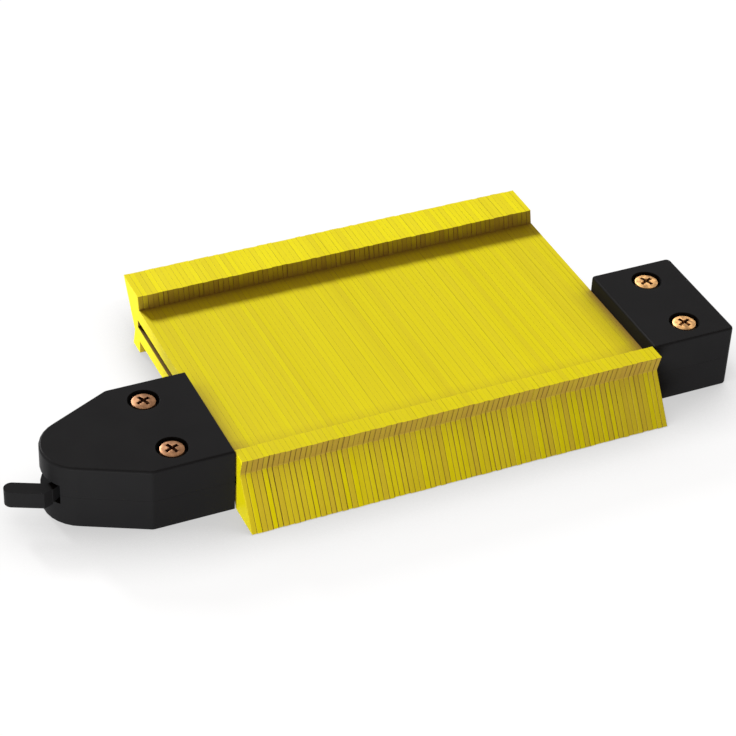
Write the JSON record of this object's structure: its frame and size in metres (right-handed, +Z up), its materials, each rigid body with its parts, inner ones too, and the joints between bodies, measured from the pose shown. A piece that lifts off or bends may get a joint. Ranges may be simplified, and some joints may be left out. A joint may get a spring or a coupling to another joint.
{
  "type": "contour gauge",
  "caption": "Contour gauge with a row of thin plastic teeth that slide on flat rails between two end blocks and copy a profile; a cam lever in the nose locks them",
  "frame": {"origin": "On the surface that the gauge lies on, under the middle of its overall box", "axes": "+X along the row of teeth, away from the lever; +Y to the rear, the way the teeth slide; +Z up"},
  "size_m": [0.2124, 0.1, 0.0201],
  "materials": {
    "black_plastic": "satin",
    "yellow_plastic": "satin",
    "steel": "brushed",
    "copper_screws": "plated"
  },
  "bodies": {
    "frame": {"left_upper_shell": "black_plastic", "left_lower_shell": "black_plastic", "right_upper_shell": "black_plastic", "right_lower_shell": "black_plastic", "front_rail": "steel", "rear_rail": "steel", "left_screws": "copper_screws", "right_screws": "copper_screws", "lever_pin": "steel"},
    "lever": {"lock_lever": "black_plastic"},
    "pusher": {"push_bar": "black_plastic", "pressure_plate": "black_plastic"},
    "tooth_pack_01": {"tooth_pack_01": "yellow_plastic"},
    "tooth_pack_02": {"tooth_pack_02": "yellow_plastic"},
    "tooth_pack_03": {"tooth_pack_03": "yellow_plastic"},
    "tooth_pack_04": {"tooth_pack_04": "yellow_plastic"},
    "tooth_pack_05": {"tooth_pack_05": "yellow_plastic"},
    "tooth_pack_06": {"tooth_pack_06": "yellow_plastic"},
    "tooth_pack_07": {"tooth_pack_07": "yellow_plastic"},
    "tooth_pack_08": {"tooth_pack_08": "yellow_plastic"},
    "tooth_pack_09": {"tooth_pack_09": "yellow_plastic"},
    "tooth_pack_10": {"tooth_pack_10": "yellow_plastic"},
    "tooth_pack_11": {"tooth_pack_11": "yellow_plastic"},
    "tooth_pack_12": {"tooth_pack_12": "yellow_plastic"},
    "tooth_pack_13": {"tooth_pack_13": "yellow_plastic"},
    "tooth_pack_14": {"tooth_pack_14": "yellow_plastic"},
    "tooth_pack_15": {"tooth_pack_15": "yellow_plastic"},
    "tooth_pack_16": {"tooth_pack_16": "yellow_plastic"},
    "tooth_pack_17": {"tooth_pack_17": "yellow_plastic"},
    "tooth_pack_18": {"tooth_pack_18": "yellow_plastic"},
    "tooth_pack_19": {"tooth_pack_19": "yellow_plastic"},
    "tooth_pack_20": {"tooth_pack_20": "yellow_plastic"},
    "tooth_pack_21": {"tooth_pack_21": "yellow_plastic"},
    "tooth_pack_22": {"tooth_pack_22": "yellow_plastic"},
    "tooth_pack_23": {"tooth_pack_23": "yellow_plastic"},
    "tooth_pack_24": {"tooth_pack_24": "yellow_plastic"},
    "tooth_pack_25": {"tooth_pack_25": "yellow_plastic"},
    "tooth_pack_26": {"tooth_pack_26": "yellow_plastic"},
    "tooth_pack_27": {"tooth_pack_27": "yellow_plastic"},
    "tooth_pack_28": {"tooth_pack_28": "yellow_plastic"},
    "tooth_pack_29": {"tooth_pack_29": "yellow_plastic"},
    "tooth_pack_30": {"tooth_pack_30": "yellow_plastic"},
    "tooth_pack_31": {"tooth_pack_31": "yellow_plastic"},
    "tooth_pack_32": {"tooth_pack_32": "yellow_plastic"},
    "tooth_pack_33": {"tooth_pack_33": "yellow_plastic"},
    "tooth_pack_34": {"tooth_pack_34": "yellow_plastic"},
    "tooth_pack_35": {"tooth_pack_35": "yellow_plastic"},
    "tooth_pack_36": {"tooth_pack_36": "yellow_plastic"},
    "tooth_pack_37": {"tooth_pack_37": "yellow_plastic"},
    "tooth_pack_38": {"tooth_pack_38": "yellow_plastic"},
    "tooth_pack_39": {"tooth_pack_39": "yellow_plastic"},
    "tooth_pack_40": {"tooth_pack_40": "yellow_plastic"},
    "tooth_pack_41": {"tooth_pack_41": "yellow_plastic"}
  },
  "joints": [
    {"name": "lever_swing", "type": "hinge", "parent": "frame", "child": "lever", "pos_m": [-0.08381, -0.0196, 0.01005], "axis": [0, 0, -1], "range_deg": [-7, 65]},
    {"name": "pusher_slide", "type": "slide", "parent": "frame", "child": "pusher", "axis": [1, 0, 0], "range_m": [-0.0000457, 0.0004245]},
    {"name": "tooth_pack_01_slide", "type": "slide", "parent": "frame", "child": "tooth_pack_01", "axis": [0, 1, 0], "range_m": [-0.0427, 0.0035]},
    {"name": "tooth_pack_02_slide", "type": "slide", "parent": "frame", "child": "tooth_pack_02", "axis": [0, 1, 0], "range_m": [-0.0427, 0.0035]},
    {"name": "tooth_pack_03_slide", "type": "slide", "parent": "frame", "child": "tooth_pack_03", "axis": [0, 1, 0], "range_m": [-0.0427, 0.0035]},
    {"name": "tooth_pack_04_slide", "type": "slide", "parent": "frame", "child": "tooth_pack_04", "axis": [0, 1, 0], "range_m": [-0.0427, 0.0035]},
    {"name": "tooth_pack_05_slide", "type": "slide", "parent": "frame", "child": "tooth_pack_05", "axis": [0, 1, 0], "range_m": [-0.0427, 0.0035]},
    {"name": "tooth_pack_06_slide", "type": "slide", "parent": "frame", "child": "tooth_pack_06", "axis": [0, 1, 0], "range_m": [-0.0427, 0.0035]},
    {"name": "tooth_pack_07_slide", "type": "slide", "parent": "frame", "child": "tooth_pack_07", "axis": [0, 1, 0], "range_m": [-0.0427, 0.0035]},
    {"name": "tooth_pack_08_slide", "type": "slide", "parent": "frame", "child": "tooth_pack_08", "axis": [0, 1, 0], "range_m": [-0.0427, 0.0035]},
    {"name": "tooth_pack_09_slide", "type": "slide", "parent": "frame", "child": "tooth_pack_09", "axis": [0, 1, 0], "range_m": [-0.0427, 0.0035]},
    {"name": "tooth_pack_10_slide", "type": "slide", "parent": "frame", "child": "tooth_pack_10", "axis": [0, 1, 0], "range_m": [-0.0427, 0.0035]},
    {"name": "tooth_pack_11_slide", "type": "slide", "parent": "frame", "child": "tooth_pack_11", "axis": [0, 1, 0], "range_m": [-0.0427, 0.0035]},
    {"name": "tooth_pack_12_slide", "type": "slide", "parent": "frame", "child": "tooth_pack_12", "axis": [0, 1, 0], "range_m": [-0.0427, 0.0035]},
    {"name": "tooth_pack_13_slide", "type": "slide", "parent": "frame", "child": "tooth_pack_13", "axis": [0, 1, 0], "range_m": [-0.0427, 0.0035]},
    {"name": "tooth_pack_14_slide", "type": "slide", "parent": "frame", "child": "tooth_pack_14", "axis": [0, 1, 0], "range_m": [-0.0427, 0.0035]},
    {"name": "tooth_pack_15_slide", "type": "slide", "parent": "frame", "child": "tooth_pack_15", "axis": [0, 1, 0], "range_m": [-0.0427, 0.0035]},
    {"name": "tooth_pack_16_slide", "type": "slide", "parent": "frame", "child": "tooth_pack_16", "axis": [0, 1, 0], "range_m": [-0.0427, 0.0035]},
    {"name": "tooth_pack_17_slide", "type": "slide", "parent": "frame", "child": "tooth_pack_17", "axis": [0, 1, 0], "range_m": [-0.0427, 0.0035]},
    {"name": "tooth_pack_18_slide", "type": "slide", "parent": "frame", "child": "tooth_pack_18", "axis": [0, 1, 0], "range_m": [-0.0427, 0.0035]},
    {"name": "tooth_pack_19_slide", "type": "slide", "parent": "frame", "child": "tooth_pack_19", "axis": [0, 1, 0], "range_m": [-0.0427, 0.0035]},
    {"name": "tooth_pack_20_slide", "type": "slide", "parent": "frame", "child": "tooth_pack_20", "axis": [0, 1, 0], "range_m": [-0.0427, 0.0035]},
    {"name": "tooth_pack_21_slide", "type": "slide", "parent": "frame", "child": "tooth_pack_21", "axis": [0, 1, 0], "range_m": [-0.0427, 0.0035]},
    {"name": "tooth_pack_22_slide", "type": "slide", "parent": "frame", "child": "tooth_pack_22", "axis": [0, 1, 0], "range_m": [-0.0427, 0.0035]},
    {"name": "tooth_pack_23_slide", "type": "slide", "parent": "frame", "child": "tooth_pack_23", "axis": [0, 1, 0], "range_m": [-0.0427, 0.0035]},
    {"name": "tooth_pack_24_slide", "type": "slide", "parent": "frame", "child": "tooth_pack_24", "axis": [0, 1, 0], "range_m": [-0.0427, 0.0035]},
    {"name": "tooth_pack_25_slide", "type": "slide", "parent": "frame", "child": "tooth_pack_25", "axis": [0, 1, 0], "range_m": [-0.0427, 0.0035]},
    {"name": "tooth_pack_26_slide", "type": "slide", "parent": "frame", "child": "tooth_pack_26", "axis": [0, 1, 0], "range_m": [-0.0427, 0.0035]},
    {"name": "tooth_pack_27_slide", "type": "slide", "parent": "frame", "child": "tooth_pack_27", "axis": [0, 1, 0], "range_m": [-0.0427, 0.0035]},
    {"name": "tooth_pack_28_slide", "type": "slide", "parent": "frame", "child": "tooth_pack_28", "axis": [0, 1, 0], "range_m": [-0.0427, 0.0035]},
    {"name": "tooth_pack_29_slide", "type": "slide", "parent": "frame", "child": "tooth_pack_29", "axis": [0, 1, 0], "range_m": [-0.0427, 0.0035]},
    {"name": "tooth_pack_30_slide", "type": "slide", "parent": "frame", "child": "tooth_pack_30", "axis": [0, 1, 0], "range_m": [-0.0427, 0.0035]},
    {"name": "tooth_pack_31_slide", "type": "slide", "parent": "frame", "child": "tooth_pack_31", "axis": [0, 1, 0], "range_m": [-0.0427, 0.0035]},
    {"name": "tooth_pack_32_slide", "type": "slide", "parent": "frame", "child": "tooth_pack_32", "axis": [0, 1, 0], "range_m": [-0.0427, 0.0035]},
    {"name": "tooth_pack_33_slide", "type": "slide", "parent": "frame", "child": "tooth_pack_33", "axis": [0, 1, 0], "range_m": [-0.0427, 0.0035]},
    {"name": "tooth_pack_34_slide", "type": "slide", "parent": "frame", "child": "tooth_pack_34", "axis": [0, 1, 0], "range_m": [-0.0427, 0.0035]},
    {"name": "tooth_pack_35_slide", "type": "slide", "parent": "frame", "child": "tooth_pack_35", "axis": [0, 1, 0], "range_m": [-0.0427, 0.0035]},
    {"name": "tooth_pack_36_slide", "type": "slide", "parent": "frame", "child": "tooth_pack_36", "axis": [0, 1, 0], "range_m": [-0.0427, 0.0035]},
    {"name": "tooth_pack_37_slide", "type": "slide", "parent": "frame", "child": "tooth_pack_37", "axis": [0, 1, 0], "range_m": [-0.0427, 0.0035]},
    {"name": "tooth_pack_38_slide", "type": "slide", "parent": "frame", "child": "tooth_pack_38", "axis": [0, 1, 0], "range_m": [-0.0427, 0.0035]},
    {"name": "tooth_pack_39_slide", "type": "slide", "parent": "frame", "child": "tooth_pack_39", "axis": [0, 1, 0], "range_m": [-0.0427, 0.0035]},
    {"name": "tooth_pack_40_slide", "type": "slide", "parent": "frame", "child": "tooth_pack_40", "axis": [0, 1, 0], "range_m": [-0.0427, 0.0035]},
    {"name": "tooth_pack_41_slide", "type": "slide", "parent": "frame", "child": "tooth_pack_41", "axis": [0, 1, 0], "range_m": [-0.0427, 0.0035]}
  ],
  "couplings": [
    {"joint": "lever_swing", "follows": "pusher_slide", "rad_per_m": 2672.4}
  ]
}
